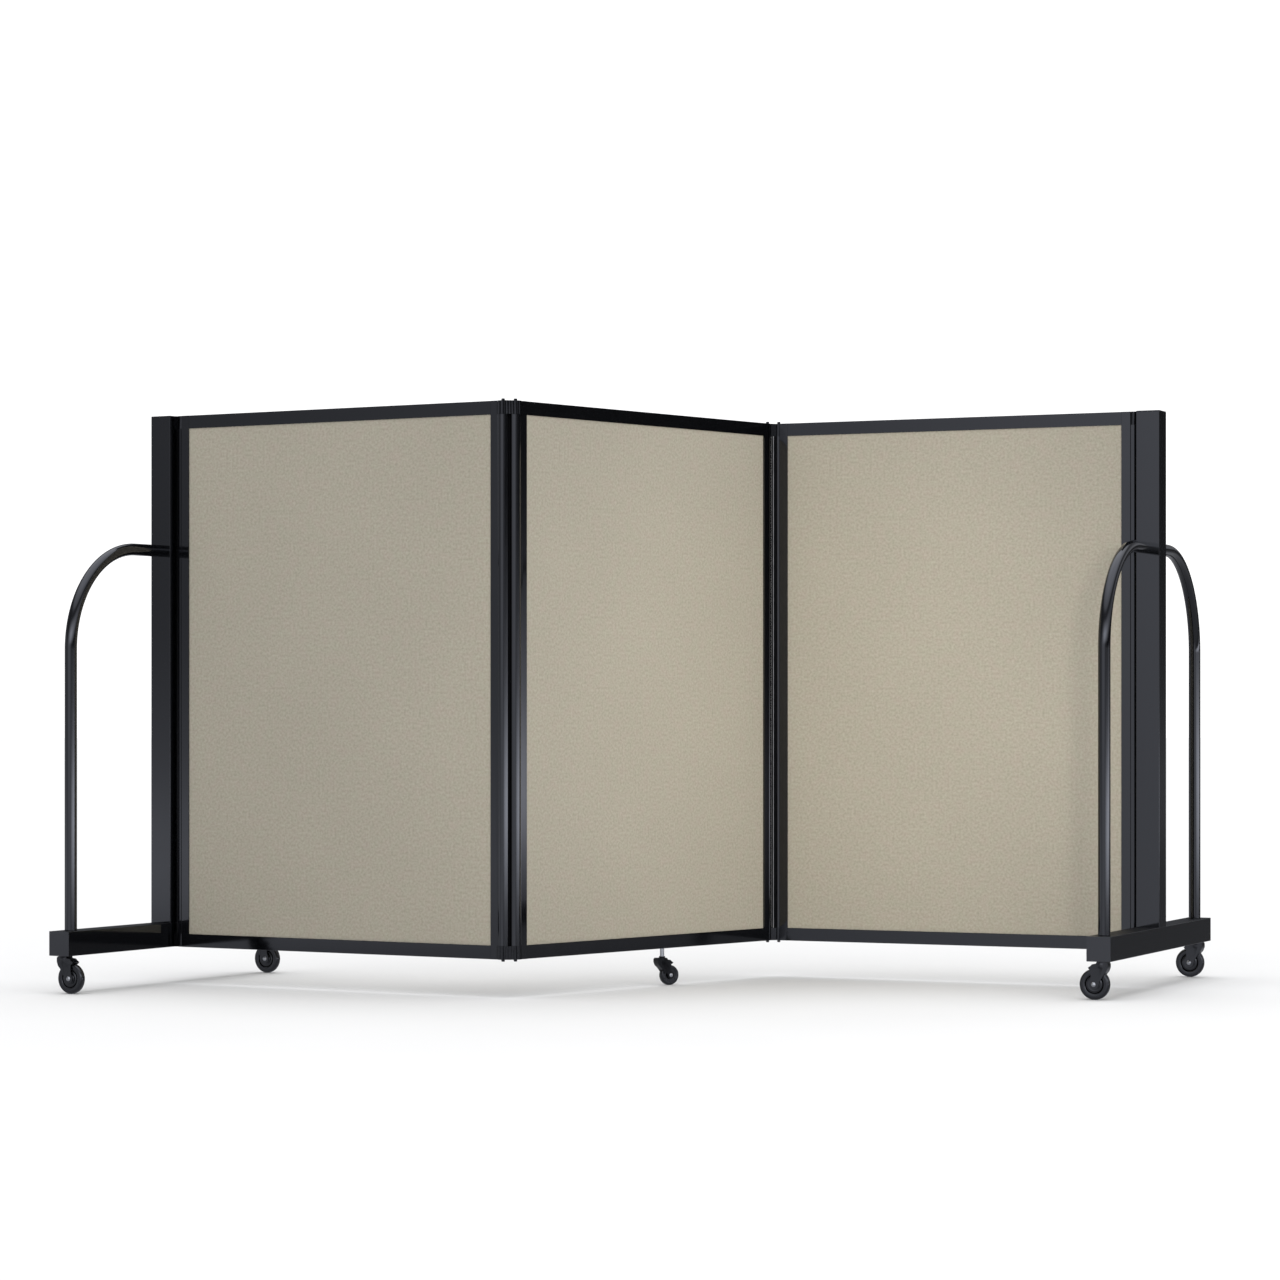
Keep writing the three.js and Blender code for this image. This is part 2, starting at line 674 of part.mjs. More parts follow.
// One end frame. Its group's origin is the panel's outer rod, with X away from the panel. frontSide
// is -1 or 1 where the front of the screen lies towards -Y or +Y.
function addEndFrame(group, name, frontSide) {
  const bottomBlock = endBlock(underPanelGap, underPanelGap + blockHeight);
  const topBlock = endBlock(overallHeight - blockHeight, overallHeight);
  addPiece(group, `${name}_end_top_block`, topBlock, materials.hinge);
  addPiece(group, `${name}_end_bottom_block`, bottomBlock, materials.hinge);
  const rod = roundBar(rodRadius, underPanelGap, overallHeight, rodEdgeBreak);
  addPiece(group, `${name}_end_rod`, rod, materials.hinge);
  addPiece(group, `${name}_base_tube`, baseTube(), materials.tube);
  addPiece(group, `${name}_post_tube`, postTube(), materials.tube);
  addPiece(group, `${name}_hoop`, hoop(), materials.tube);
  const postCap = tubeCap().translate(endFrameCentre, 0, overallHeight - capPlate);
  addPiece(group, `${name}_post_cap`, postCap, materials.plastic);
  for (const [end, side] of [['front', frontSide], ['rear', -frontSide]]) {
    const cap = tubeCap().rotateX((-side * Math.PI) / 2);
    const capY = side * (baseLength / 2 + seatGap);
    cap.translate(endFrameCentre, capY, underPanelGap + halfTube);
    addPiece(group, `${name}_base_${end}_cap`, cap, materials.plastic);
    const caster = new THREE.Group();
    caster.position.set(endFrameCentre, side * casterReachAlongBase, 0);
    caster.rotation.z = Math.PI;
    addCaster(caster, `${name}_${end}_caster`, endCaster, endCasterFork());
    group.add(caster);
  }
}

// A point a distance away from another along a heading.
function beyond(point, heading, distance) {
  const step = new THREE.Vector2(Math.cos(heading), Math.sin(heading));
  return point.clone().addScaledVector(step, distance);
}

// A group standing at a point on the floor and turned to a heading.
function standAt(point, heading) {
  const group = new THREE.Group();
  group.position.set(point.x, point.y, 0);
  group.rotation.z = heading;
  screen.add(group);
  return group;
}

// Lays out the pins and headings of the zigzag, outwards from the middle panel, and builds on them.
function buildScreen() {
  const frontCap = -1;
  const rearCap = 1;
  const noCap = 0;

  const middleLeft = new THREE.Vector2(0, 0);
  const middleRight = beyond(middleLeft, middlePanelHeading, panelPitch);
  const middle = standAt(middleLeft, middlePanelHeading);
  const stemAt = rodFromFabric + middleCasterFromFabricEdge;
  addPanel(middle, 'panel_2', [frontCap, rearCap], stemAt);

  const firstLinkHeading = middlePanelHeading - firstFoldPinTurn;
  const firstPanelHeading = firstLinkHeading - firstFoldPinTurn;
  const firstRight = beyond(middleLeft, firstLinkHeading, -rodPitch);
  const firstLeft = beyond(firstRight, firstPanelHeading, -panelPitch);
  const firstLinkCentre = beyond(middleLeft, firstLinkHeading, -rodPitch / 2);
  addFold(standAt(firstLinkCentre, firstLinkHeading), 'fold_1', 0);
  addPanel(standAt(firstLeft, firstPanelHeading), 'panel_1', [noCap, frontCap]);
  addEndFrame(standAt(firstLeft, firstPanelHeading + Math.PI), 'left', 1);

  const secondLinkHeading = middlePanelHeading - secondFoldPinTurn;
  const lastPanelHeading = secondLinkHeading - secondFoldPinTurn;
  const lastLeft = beyond(middleRight, secondLinkHeading, rodPitch);
  const lastRight = beyond(lastLeft, lastPanelHeading, panelPitch);
  const secondLinkCentre = beyond(middleRight, secondLinkHeading, rodPitch / 2);
  addFold(standAt(secondLinkCentre, secondLinkHeading), 'fold_2', Math.PI);
  addPanel(standAt(lastLeft, lastPanelHeading), 'panel_3', [rearCap, noCap]);
  addEndFrame(standAt(lastRight, lastPanelHeading), 'right', -1);

  const stemPoint = beyond(middleLeft, middlePanelHeading, stemAt);
  const caster = standAt(stemPoint, middleCasterHeading);
  addPiece(caster, 'middle_caster_stem', middleStem(), materials.zinc);
  addCaster(caster, 'middle_caster', middleCaster, middleCasterFork());
}

// Centres the footprint on the origin.
function centreOnOrigin() {
  screen.updateMatrixWorld(true);
  const box = new THREE.Box3().setFromObject(screen, true);
  const centre = box.getCenter(new THREE.Vector3());
  screen.position.set(-centre.x, -centre.y, 0);
  screen.updateMatrixWorld(true);
}

buildScreen();
centreOnOrigin();

export default screen;
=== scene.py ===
"""Looks for the folding ward privacy screen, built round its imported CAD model."""

import json
import math

import bmesh
import bpy
from mathutils import Matrix, Vector

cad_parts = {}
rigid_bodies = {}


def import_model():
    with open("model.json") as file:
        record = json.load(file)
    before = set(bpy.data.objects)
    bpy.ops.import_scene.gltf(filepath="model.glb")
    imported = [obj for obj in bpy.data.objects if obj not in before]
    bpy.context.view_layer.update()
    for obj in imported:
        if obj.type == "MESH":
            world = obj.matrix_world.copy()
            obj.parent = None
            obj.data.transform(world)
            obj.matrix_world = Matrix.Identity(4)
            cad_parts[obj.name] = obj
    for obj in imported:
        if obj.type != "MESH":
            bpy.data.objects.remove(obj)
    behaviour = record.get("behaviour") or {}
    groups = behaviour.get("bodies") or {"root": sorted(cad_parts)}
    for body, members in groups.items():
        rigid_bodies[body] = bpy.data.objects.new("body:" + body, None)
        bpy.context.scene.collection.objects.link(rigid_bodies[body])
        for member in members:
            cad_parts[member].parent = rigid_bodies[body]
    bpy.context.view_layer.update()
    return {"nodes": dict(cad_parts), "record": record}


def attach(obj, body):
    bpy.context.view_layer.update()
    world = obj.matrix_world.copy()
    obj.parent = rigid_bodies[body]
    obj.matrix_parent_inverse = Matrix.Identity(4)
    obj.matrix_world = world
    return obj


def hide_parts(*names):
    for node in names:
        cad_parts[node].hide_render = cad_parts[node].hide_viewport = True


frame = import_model()
NODES = frame["nodes"]
SCENE = bpy.context.scene

# Sizes and places of the CAD model that the finer pieces follow, in metres.
OVERALL = 1.219
UNDER_PANEL = 0.079
RAIL = 0.028
BOARD_HALF = 0.007
TUCK = 0.008
FABRIC_WIDTH = 0.763
ROD_FROM_FABRIC = 0.0245
RODS_APART = FABRIC_WIDTH + 2 * ROD_FROM_FABRIC
HALF_PITCH = 0.0127
HALF_TUBE = 0.0254
BASE_MIDDLE = 0.1044
# Each panel's left hinge rod and the heading from there to its right one.
LEFT_RODS = {
    "panel_1": ((-1.001398, 0.064901), (0.868632, -0.495459)),
    "panel_2": ((-0.271017, -0.333219), (0.660002, 0.751264)),
    "panel_3": ((0.289740, 0.282132), (0.909961, -0.414693)),
}
# Each post's middle and the heading away from the panel.
POSTS = {
    "left": ((-1.034406, 0.083728), (-0.868632, 0.495459)),
    "right": ((1.063207, -0.070358), (0.909961, -0.414693)),
}


# ---- objects and meshes

def new_object(name, mesh, body, material):
    """A smooth-shaded object that rides on a body."""
    for polygon in mesh.polygons:
        polygon.use_smooth = True
    obj = bpy.data.objects.new(name, mesh)
    SCENE.collection.objects.link(obj)
    obj.data.materials.append(material)
    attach(obj, body)
    return obj


def standing(origin, x_dir):
    """The matrix of a place on the floor with X along a heading."""
    x, y = x_dir
    return Matrix(((x, -y, 0, origin[0]), (y, x, 0, origin[1]), (0, 0, 1, 0), (0, 0, 0, 1)))


def ring(mesh_data, centre, radius, u, v, around):
    """A round of vertices about a centre, in the plane of u and v."""
    angles = [2 * math.pi * k / around for k in range(around)]
    return [mesh_data.verts.new(centre + radius * (math.cos(a) * u + math.sin(a) * v)) for a in angles]


def skin(mesh_data, rings):
    """Joins neighbouring rings with faces. A ring may be one vertex repeated, for a pole."""
    for first, second in zip(rings, rings[1:]):
        count = len(first)
        for k in range(count):
            n = (k + 1) % count
            corners = []
            for vertex in (first[k], first[n], second[n], second[k]):
                if vertex not in corners:
                    corners.append(vertex)
            mesh_data.faces.new(corners)


def close_ends(mesh_data, rings):
    """Puts a flat face on the first and the last ring."""
    mesh_data.faces.new(rings[0][::-1])
    mesh_data.faces.new(rings[-1])


def finished(name, mesh_data):
    """The mesh of a built body, with its faces turned outward."""
    bmesh.ops.recalc_face_normals(mesh_data, faces=mesh_data.faces)
    mesh = bpy.data.meshes.new(name)
    mesh_data.to_mesh(mesh)
    mesh_data.free()
    return mesh


def sweep(name, points, tangents, across, radius, around=40):
    """A round bar swept along a flat path. across is the unit vector square to the path's plane."""
    mesh_data = bmesh.new()
    rings = [ring(mesh_data, point, radius, tangent.cross(across), across, around)
             for point, tangent in zip(points, tangents)]
    skin(mesh_data, rings)
    close_ends(mesh_data, rings)
    return finished(name, mesh_data)


def turned(name, place, axis, profile, around=72):
    """A body of revolution. profile holds (radius, distance along the axis) from end to end."""
    mesh_data = bmesh.new()
    axis = axis.normalized()
    side = axis.cross(Vector((0, 0, 1))).normalized()
    up = axis.cross(side)
    rings = []
    for radius, distance in profile:
        centre = place + axis * distance
        if radius == 0:
            rings.append([mesh_data.verts.new(centre)] * around)
        else:
            rings.append(ring(mesh_data, centre, radius, side, up, around))
    skin(mesh_data, rings)
    return finished(name, mesh_data)


def column(name, outline, place, low, high):
    """A flat outline drawn out between two heights of a place."""
    mesh_data = bmesh.new()
    rings = [[mesh_data.verts.new(place @ Vector((x, y, z))) for x, y in outline] for z in (low, high)]
    skin(mesh_data, rings)
    close_ends(mesh_data, rings)
    return finished(name, mesh_data)


# ---- shading of meshes

SMOOTH_BELOW = math.radians(46)
BEVEL_ABOVE = math.radians(50)


def smooth_group():
    """A node group that shades smooth except along edges sharper than SMOOTH_BELOW."""
    group = bpy.data.node_groups.new("shade_by_angle", "GeometryNodeTree")
    for direction in ("INPUT", "OUTPUT"):
        group.interface.new_socket("Geometry", in_out=direction, socket_type="NodeSocketGeometry")
    into = group.nodes.new("NodeGroupInput")
    out = group.nodes.new("NodeGroupOutput")
    faces = group.nodes.new("GeometryNodeSetShadeSmooth")
    faces.domain = "FACE"
    edges = group.nodes.new("GeometryNodeSetShadeSmooth")
    edges.domain = "EDGE"
    edges.inputs["Shade Smooth"].default_value = False
    angle = group.nodes.new("GeometryNodeInputMeshEdgeAngle")
    sharper = group.nodes.new("FunctionNodeCompare")
    sharper.operation = "GREATER_THAN"
    sharper.inputs[1].default_value = SMOOTH_BELOW
    group.links.new(sharper.inputs[0], angle.outputs["Unsigned Angle"])
    group.links.new(faces.inputs["Geometry"], into.outputs[0])
    group.links.new(edges.inputs["Geometry"], faces.outputs["Geometry"])
    group.links.new(edges.inputs["Selection"], sharper.outputs[0])
    group.links.new(out.inputs[0], edges.outputs["Geometry"])
    return group


SMOOTH = smooth_group()


def shade_by_angle(obj, weighted=False):
    """Keeps sharp edges crisp. weighted also keeps the flat faces beside a rounding flat."""
    obj.modifiers.new("shade", "NODES").node_group = SMOOTH
    if weighted:
        obj.modifiers.new("weighted", "WEIGHTED_NORMAL").keep_sharp = True


def break_edges(obj, width):
    """Bevels the sharp edges of an object."""
    edge = obj.modifiers.new("edge", "BEVEL")
    edge.width = width
    edge.segments = 2
    edge.limit_method = "ANGLE"
    edge.angle_limit = BEVEL_ABOVE


# ---- material nodes

def material(name, colour, roughness, specular=0.5, metallic=0.0, sheen=0.0, tint=(1, 1, 1), ior=1.5):
    """A new material with its node tree and its shader."""
    mat = bpy.data.materials.new(name)
    mat.use_nodes = True
    shader = mat.node_tree.nodes["Principled BSDF"]
    shader.inputs["Base Color"].default_value = (*colour, 1)
    shader.inputs["Roughness"].default_value = roughness
    shader.inputs["Metallic"].default_value = metallic
    shader.inputs["Specular IOR Level"].default_value = specular
    shader.inputs["Specular Tint"].default_value = (*tint, 1)
    shader.inputs["IOR"].default_value = ior
    shader.inputs["Sheen Weight"].default_value = sheen
    return mat, mat.node_tree, shader


def add(tree, kind, **settings):
    """A new node. Each setting is the value of an input or, failing that, a property."""
    node = tree.nodes.new(kind)
    for key, value in settings.items():
        if key in node.inputs:
            node.inputs[key].default_value = value
        else:
            setattr(node, key, value)
    return node


def join(tree, out_socket, in_socket):
    tree.links.new(in_socket, out_socket)


def noise(tree, vector, scale, detail=2.0, roughness=0.5):
    node = add(tree, "ShaderNodeTexNoise", Scale=scale, Detail=detail, Roughness=roughness)
    join(tree, vector, node.inputs["Vector"])
    return node.outputs["Fac"]


def ramp(tree, fac, *stops):
    """A colour ramp. Each stop is a place and a grey level or colour."""
    node = tree.nodes.new("ShaderNodeValToRGB")
    elements = node.color_ramp.elements
    while len(elements) < len(stops):
        elements.new(0.5)
    for element, (place, value) in zip(elements, stops):
        element.position = place
        rgb = (value,) * 3 if isinstance(value, (int, float)) else value
        element.color = (*rgb, 1)
    join(tree, fac, node.inputs["Fac"])
    return node.outputs["Color"]


def spread(tree, fac, low, high):
    """Stretches a factor of 0 to 1 over a range."""
    node = add(tree, "ShaderNodeMapRange", **{"To Min": low, "To Max": high})
    join(tree, fac, node.inputs["Value"])
    return node.outputs["Result"]


def calc(tree, operation, a, b=0.0):
    """A math operation on two numbers or sockets."""
    node = add(tree, "ShaderNodeMath", operation=operation)
    for socket, value in zip(node.inputs, (a, b)):
        if isinstance(value, (int, float)):
            socket.default_value = value
        else:
            join(tree, value, socket)
    return node.outputs[0]


def mixed(tree, fac, a, b, blend="MIX"):
    """A mix of two colours, each given as a colour or a socket."""
    node = add(tree, "ShaderNodeMix", data_type="RGBA", blend_type=blend)
    for index, value in ((0, fac), (6, a), (7, b)):
        socket = node.inputs[index]
        if isinstance(value, (int, float)):
            socket.default_value = value
        elif isinstance(value, tuple):
            socket.default_value = (*value, 1)
        else:
            join(tree, value, socket)
    return node.outputs[2]


def bump(tree, shader, height, strength, distance):
    node = add(tree, "ShaderNodeBump", Strength=strength, Distance=distance)
    join(tree, height, node.inputs["Height"])
    join(tree, node.outputs["Normal"], shader.inputs["Normal"])


def coordinates(tree, which="Object", stretch=None):
    """Texture coordinates, stretched along the axes if a scale is given."""
    out = tree.nodes.new("ShaderNodeTexCoord").outputs[which]
    if stretch is None:
        return out
    node = add(tree, "ShaderNodeMapping", Scale=stretch)
    join(tree, out, node.inputs["Vector"])
    return node.outputs["Vector"]


# ---- materials

BLACK_TINT = (0.90, 0.925, 1.0)
BLACK_IOR = 1.65


def black(name, colour, roughness, specular=0.5):
    """A glossy black whose reflections are a little blue."""
    return material(name, colour, roughness, specular=specular, tint=BLACK_TINT, ior=BLACK_IOR)


def tones(tree, fac, colour, down, up):
    """A colour that varies between two shares of itself."""
    return ramp(tree, fac, (0.3, tuple(c * down for c in colour)), (0.7, tuple(c * up for c in colour)))


def fabric_material():
    """Beige woven fabric: a wavering weave over pebbles, slubs, hints of hue and broad clouds."""
    mat, tree, shader = material("woven_beige", (0.36, 0.33, 0.27), 0.93, specular=0.25, sheen=0.06)
    shader.inputs["Sheen Roughness"].default_value = 0.5
    uv = coordinates(tree, "UV")
    warp = add(tree, "ShaderNodeVectorMath", operation="MULTIPLY_ADD")
    wobble = add(tree, "ShaderNodeTexNoise", Scale=140.0, Detail=1.0)
    join(tree, uv, wobble.inputs["Vector"])
    join(tree, wobble.outputs["Color"], warp.inputs[0])
    warp.inputs[1].default_value = (0.0016, 0.0016, 0)
    join(tree, uv, warp.inputs[2])
    threads = []
    for direction in ("X", "Y"):
        wave = add(tree, "ShaderNodeTexWave", Scale=200.0, Distortion=0.6, Detail=1.0,
                   bands_direction=direction)
        join(tree, warp.outputs["Vector"], wave.inputs["Vector"])
        threads.append(wave.outputs["Fac"])
    weave = calc(tree, "MULTIPLY", *threads)
    pebbles = noise(tree, uv, 190.0, roughness=0.55)
    slubs = noise(tree, coordinates(tree, "UV", (1, 0.22, 1)), 120.0)
    blotches = noise(tree, uv, 38.0)
    clouds = noise(tree, uv, 3.5)
    base = ramp(tree, pebbles, (0.28, (0.274, 0.251, 0.200)), (0.5, (0.357, 0.330, 0.268)),
                (0.74, (0.440, 0.410, 0.338)))
    base = mixed(tree, spread(tree, slubs, 0.0, 0.22), base, (0.40, 0.37, 0.30))
    hue = ramp(tree, blotches, (0.3, (0.345, 0.345, 0.268)), (0.5, (0.360, 0.333, 0.271)),
               (0.7, (0.392, 0.325, 0.282)))
    base = mixed(tree, 0.3, base, hue)
    base = mixed(tree, 1.0, base, ramp(tree, clouds, (0.3, 0.965), (0.7, 1.0)), "MULTIPLY")
    base = mixed(tree, 1.0, base, ramp(tree, weave, (0.0, 0.90), (0.45, 1.0)), "MULTIPLY")
    join(tree, base, shader.inputs["Base Color"])
    join(tree, spread(tree, pebbles, 0.86, 1.0), shader.inputs["Roughness"])
    bump(tree, shader, calc(tree, "ADD", weave, calc(tree, "MULTIPLY", pebbles, 0.9)), 0.55, 0.0004)
    return mat


def paint_material(name, colour, roughness, peel, specular=0.5):
    """Powder-coated or painted black steel, with orange peel and faint unevenness in its gloss."""
    mat, tree, shader = black(name, colour, roughness, specular)
    place = coordinates(tree)
    fine = noise(tree, place, 900.0)
    broad = noise(tree, place, 26.0, 3.0)
    join(tree, spread(tree, broad, roughness * 0.86, roughness * 1.16), shader.inputs["Roughness"])
    join(tree, tones(tree, fine, colour, 0.8, 1.2), shader.inputs["Base Color"])
    bump(tree, shader, fine, peel, 0.0001)
    return mat


def extrusion_material():
    """Black anodised extrusion, with fine draw lines that run up and down."""
    mat, tree, shader = black("frame_black", (0.001, 0.0011, 0.0014), 0.075)
    lines = noise(tree, coordinates(tree, "Object", (1, 1, 0.012)), 1400.0)
    broad = noise(tree, coordinates(tree), 18.0, 3.0)
    join(tree, spread(tree, broad, 0.062, 0.095), shader.inputs["Roughness"])
    tone = ramp(tree, lines, (0.3, (0.0007, 0.0008, 0.001)), (0.7, (0.0014, 0.0015, 0.0019)))
    join(tree, tone, shader.inputs["Base Color"])
    bump(tree, shader, lines, 0.03, 0.0001)
    return mat


def plastic_material(name, colour, roughness, grain, strength, specular):
    """Moulded black plastic, with a fine spark-eroded grain."""
    mat, tree, shader = black(name, colour, roughness, specular)
    place = coordinates(tree)
    cells = add(tree, "ShaderNodeTexVoronoi", Scale=grain)
    join(tree, place, cells.inputs["Vector"])
    broad = noise(tree, place, 60.0, 3.0)
    join(tree, spread(tree, broad, roughness * 0.88, roughness * 1.14), shader.inputs["Roughness"])
    join(tree, tones(tree, broad, colour, 0.82, 1.18), shader.inputs["Base Color"])
    bump(tree, shader, cells.outputs["Distance"], strength, 0.0002)
    return mat


def zinc_material():
    """Bright zinc plating, spotted and faintly ringed by its turning."""
    mat, tree, shader = material("bright_zinc", (0.5, 0.51, 0.53), 0.34, metallic=1.0)
    spots = noise(tree, coordinates(tree), 700.0, 3.0)
    rings = noise(tree, coordinates(tree, "Object", (1, 1, 8)), 260.0)
    tone = ramp(tree, spots, (0.3, (0.40, 0.41, 0.43)), (0.7, (0.58, 0.59, 0.61)))
    join(tree, tone, shader.inputs["Base Color"])
    join(tree, spread(tree, rings, 0.22, 0.4), shader.inputs["Roughness"])
    bump(tree, shader, rings, 0.08, 0.0001)
    return mat


def floor_material():
    """The plain pale floor."""
    mat, tree, shader = material("studio_floor", (0.9, 0.9, 0.9), 0.9, specular=0.0)
    soft = noise(tree, coordinates(tree), 2.0)
    tone = ramp(tree, soft, (0.3, (0.584, 0.586, 0.592)), (0.7, (0.592, 0.594, 0.600)))
    join(tree, tone, shader.inputs["Base Color"])
    return mat


DEEP_BLACK = (0.0012, 0.0013, 0.0016)
MATERIALS = {
    "fabric": fabric_material(),
    "panel_frame": extrusion_material(),
    "hinge": paint_material("hinge_black", DEEP_BLACK, 0.1, 0.04, specular=0.33),
    "tube": paint_material("tube_black", (0.001, 0.0011, 0.0014), 0.07, 0.02),
    "tube_top": paint_material("tube_top_black", DEEP_BLACK, 0.5, 0.02, specular=0.2),
    "cap": plastic_material("cap_black", DEEP_BLACK, 0.16, 2600.0, 0.015, 0.6),
    "web": plastic_material("web_black", (0.0016, 0.0016, 0.0018), 0.6, 900.0, 0.1, 0.05),
    # Painted highlight: a grey plastic for the bead, standing in for the light that a fold's inner side
    # catches.
    "bead": plastic_material("bead_grey", (0.23, 0.232, 0.24), 0.5, 1200.0, 0.1, 0.3),
    "caster_fork": plastic_material("caster_black", (0.002, 0.0021, 0.0025), 0.12, 2200.0, 0.03, 0.42),
    "caster_wheel": plastic_material("wheel_black", (0.0035, 0.0036, 0.0042), 0.17, 1800.0, 0.03, 0.46),
    "small_fork": plastic_material("small_fork_black", (0.0016, 0.0016, 0.0019), 0.22, 2200.0, 0.05, 0.13),
    "small_wheel": plastic_material("small_wheel_black", (0.003, 0.0031, 0.0034), 0.2, 1800.0, 0.04, 0.36),
    # Painted shade: a darker, duller black for the faces of a wheel's groove, where shade falls.
    "wheel_groove_painted_shade": plastic_material("recess_black", (0.002, 0.002, 0.0023), 0.6, 1800.0, 0.1, 0.06),
    "zinc": zinc_material(),
}


# ---- carried-over CAD nodes

WELD_GAP = 0.00002
FORK_BEVEL = 0.0005


def dress(name, slot):
    """Gives a carried-over node its material, welds and shades its mesh, and breaks the edges of a caster
    fork.
    """
    obj = NODES[name]
    look = "small_fork" if name == "middle_caster_fork" else slot
    obj.data.materials.clear()
    obj.data.materials.append(MATERIALS[look])
    obj.modifiers.new("weld", "WELD").merge_threshold = WELD_GAP
    if slot == "caster_fork":
        break_edges(obj, FORK_BEVEL)
    shade_by_angle(obj, weighted=True)


for part in frame["record"]["subparts"]:
    dress(part["node"], part["material_slot"])


# ---- fabric

# The grid's step, and its first lines inside the frame's edge, from that edge.
FABRIC_STEP = 0.024
EDGE_LINES = (0.0015, 0.004, 0.01, 0.02)
# How far the fabric stops short of the end of its channel, and how proud it stands of the board.
EDGE_SHORT = 0.0006
FABRIC_PROUD = 0.0001
# How much it crowns and how uneven it is, each with the distance from the frame's edge over which that
# sets in.
FABRIC_CROWN = 0.0004
CROWN_LENGTH = 0.003
FABRIC_SLACK = 0.00012
SLACK_LENGTH = 0.03
# The uneven part's waves across and up, in radians per metre, and where they start in radians.
SLACK_WAVES = (21, 13)
SLACK_STARTS = (1.7, 0.6)
# How far the back lies from the front in the weave's coordinates.
BACK_SHIFT = 5.0


def fabric_face(panel, side):
    """One stretched face of fabric, tucked into the frame all round. side is -1 for the front."""
    place = standing(*LEFT_RODS[panel])
    reach = TUCK - EDGE_SHORT
    left = ROD_FROM_FABRIC - reach
    width = FABRIC_WIDTH + 2 * reach
    low = UNDER_PANEL + RAIL - reach
    height = OVERALL - UNDER_PANEL - 2 * RAIL + 2 * reach
    edge = [0, 0.5 * reach, reach] + [reach + line for line in EDGE_LINES]

    def stations(total):
        """The grid's lines in one direction, which are close together at the frame's edge."""
        inner = total - 2 * edge[-1]
        steps = round(inner / FABRIC_STEP)
        middle = [edge[-1] + inner * k / steps for k in range(1, steps)]
        return edge + middle + [total - e for e in reversed(edge)]

    columns, rows = stations(width), stations(height)
    vertices, uvs = [], []
    for u in columns:
        for w in rows:
            inside = max(min(u, width - u, w, height - w) - reach, 0)
            crown = FABRIC_CROWN * (1 - math.exp(-inside / CROWN_LENGTH))
            across = math.sin(u * SLACK_WAVES[0] + SLACK_STARTS[0] * side)
            slack = FABRIC_SLACK * across * math.sin(w * SLACK_WAVES[1] + SLACK_STARTS[1])
            ease = min(1.0, inside / SLACK_LENGTH)
            y = side * (BOARD_HALF + FABRIC_PROUD + crown + slack * ease)
            vertices.append(place @ Vector((left + u, y, low + w)))
            uvs.append((u + (BACK_SHIFT if side > 0 else 0.0), w))
    n = len(rows)
    faces = []
    for i in range(len(columns) - 1):
        for j in range(n - 1):
            quad = (i * n + j, (i + 1) * n + j, (i + 1) * n + j + 1, i * n + j + 1)
            faces.append(quad if side < 0 else quad[::-1])
    mesh = bpy.data.meshes.new(f"{panel}_fabric")
    mesh.from_pydata(vertices, [], faces)
    layer = mesh.uv_layers.new(name="weave")
    for loop in mesh.loops:
        layer.data[loop.index].uv = uvs[loop.vertex_index]
    label = f"{panel}_fabric_{'front' if side < 0 else 'back'}"
    obj = new_object(label, mesh, panel, MATERIALS["fabric"])
    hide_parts(f"{panel}_board")


for panel in LEFT_RODS:
    for side in (-1, 1):
        fabric_face(panel, side)


# ---- hoops

HOOP_REACH = 0.3315
HOOP_BEND = 0.216
HOOP_TOP = 0.929
HOOP_FOOT = 0.1198
HOOP_TUBE = 0.0127
HOOP_STEPS = 36


def hoop(side):
    """The round bar that rises from one end of the base, runs through the post and comes down."""
    centre, away = POSTS[side]
    along = Vector((-away[1], away[0], 0))
    across = Vector((*away, 0))
    up = Vector((0, 0, 1))
    middle = Vector((*centre, 0))
    points, tangents = [], []

    def put(s, z, ds, dz):
        points.append(middle + along * s + up * z)
        tangents.append((along * ds + up * dz).normalized())

    put(-HOOP_REACH, HOOP_FOOT, 0, 1)
    for hand in (-1, 1):
        for k in range(HOOP_STEPS + 1):
            angle = math.pi / 2 * (k if hand < 0 else HOOP_STEPS - k) / HOOP_STEPS
            s, z = math.cos(angle), math.sin(angle)
            put(hand * (HOOP_REACH - HOOP_BEND * (1 - s)), HOOP_TOP - HOOP_BEND * (1 - z), z, -hand * s)
    put(HOOP_REACH, HOOP_FOOT, 0, -1)
    label = f"{side}_hoop_fine"
    mesh = sweep(label, points, tangents, across, HOOP_TUBE)
    obj = new_object(label, mesh, f"{side}_end_frame", MATERIALS["tube"])
    shade_by_angle(obj)
    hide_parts(f"{side}_hoop")


for side in POSTS:
    hoop(side)


# ---- wheels and axles

# One side of a wheel from the bore to the tread, in mm: radius and half width, for a wheel of
# MODEL_RADIUS and MODEL_HALF.
MODEL_RADIUS = 31.75
MODEL_HALF = 7.5
WHEEL_SIDE = (
    (3.3, 6.5), (4.6, 6.9), (9.6, 6.9), (10.2, 6.2), (12.0, 6.0), (12.6, 6.2), (15.9, 6.2), (16.4, 5.7),
    (17.1, 5.7), (17.3, 2.6), (17.6, 2.0), (19.1, 2.0), (19.4, 2.6), (19.6, 6.2), (20.3, 6.7), (21.1, 6.9),
    (24.3, 6.9), (24.5, 6.5), (25.0, 6.5), (25.2, 6.9), (28.2, 6.9), (29.5, 6.4), (30.7, 5.3), (31.45, 3.6),
    (31.7, 1.8),
)
# The radii between which its side takes a darker, duller material as painted shade in the groove, and the
# radius that bounds the part where a filled wheel is fuller.
GROOVE = (17.12, 19.55)
PAST_GROOVE = 22
# The turns in radians at which an axle's domed head has its stations, and the pin's share of the
# head's radius.
DOME_TURNS = (0.0, 0.35, 0.7, 1.0, 1.25, 1.45)
AXLE_PIN = 0.6

